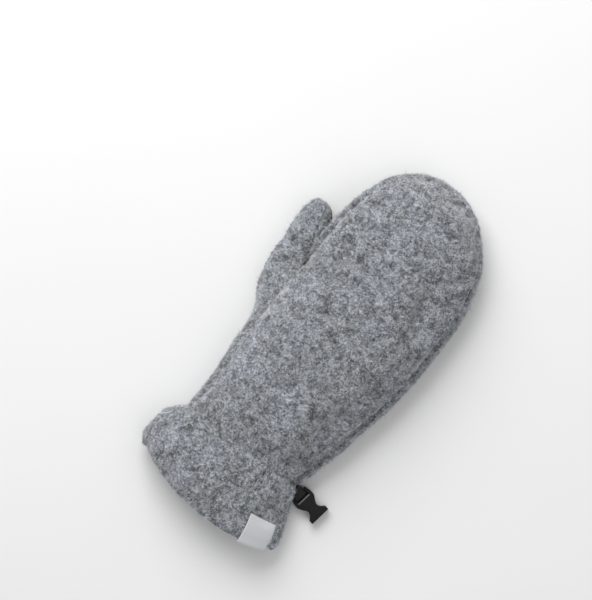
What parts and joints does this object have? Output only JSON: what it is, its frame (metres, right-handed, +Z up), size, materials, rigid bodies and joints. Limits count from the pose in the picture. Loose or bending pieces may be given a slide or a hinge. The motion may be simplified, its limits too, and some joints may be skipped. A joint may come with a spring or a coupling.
{
  "type": "fleece mitten",
  "caption": "Fleece mitten for the right hand with a leather palm, a flared cuff, a wrist buckle on webbing and a woven label at the hem.",
  "frame": {"origin": "middle of the bounding box, on the surface that the mitten lies on", "axes": "+Y from the cuff to the fingertips, +Z up from the palm to the back of the hand, the thumb on the -X side"},
  "size_m": [0.1414, 0.2892, 0.0422],
  "materials": {
    "fleece": "heather grey wool fleece, nubby and fuzzy",
    "strip_fleece": "darker grey fleece, short nap",
    "palm_leather": "fine-grained black leather, matt",
    "fingertip_leather": "pebbled charcoal leather, slightly glossy",
    "thumb_leather": "smooth black leather, soft sheen",
    "cord_leather": "leather-covered cord, soft sheen",
    "woven_label": "fine ribbed weave, light grey, bare",
    "webbing": "ribbed black webbing",
    "buckle_plastic": "moulded black plastic, satin"
  },
  "bodies": {
    "root": {"back_panel": "fleece", "side_band": "fleece", "cuff": "fleece", "thumb_panel": "fleece", "thumb_strip": "strip_fleece", "palm_leather": "palm_leather", "fingertip_leather": "fingertip_leather", "thumb_leather": "thumb_leather", "welt": "cord_leather", "label": "woven_label", "strap_loop": "webbing", "buckle_socket": "buckle_plastic"}
  },
  "joints": []
}
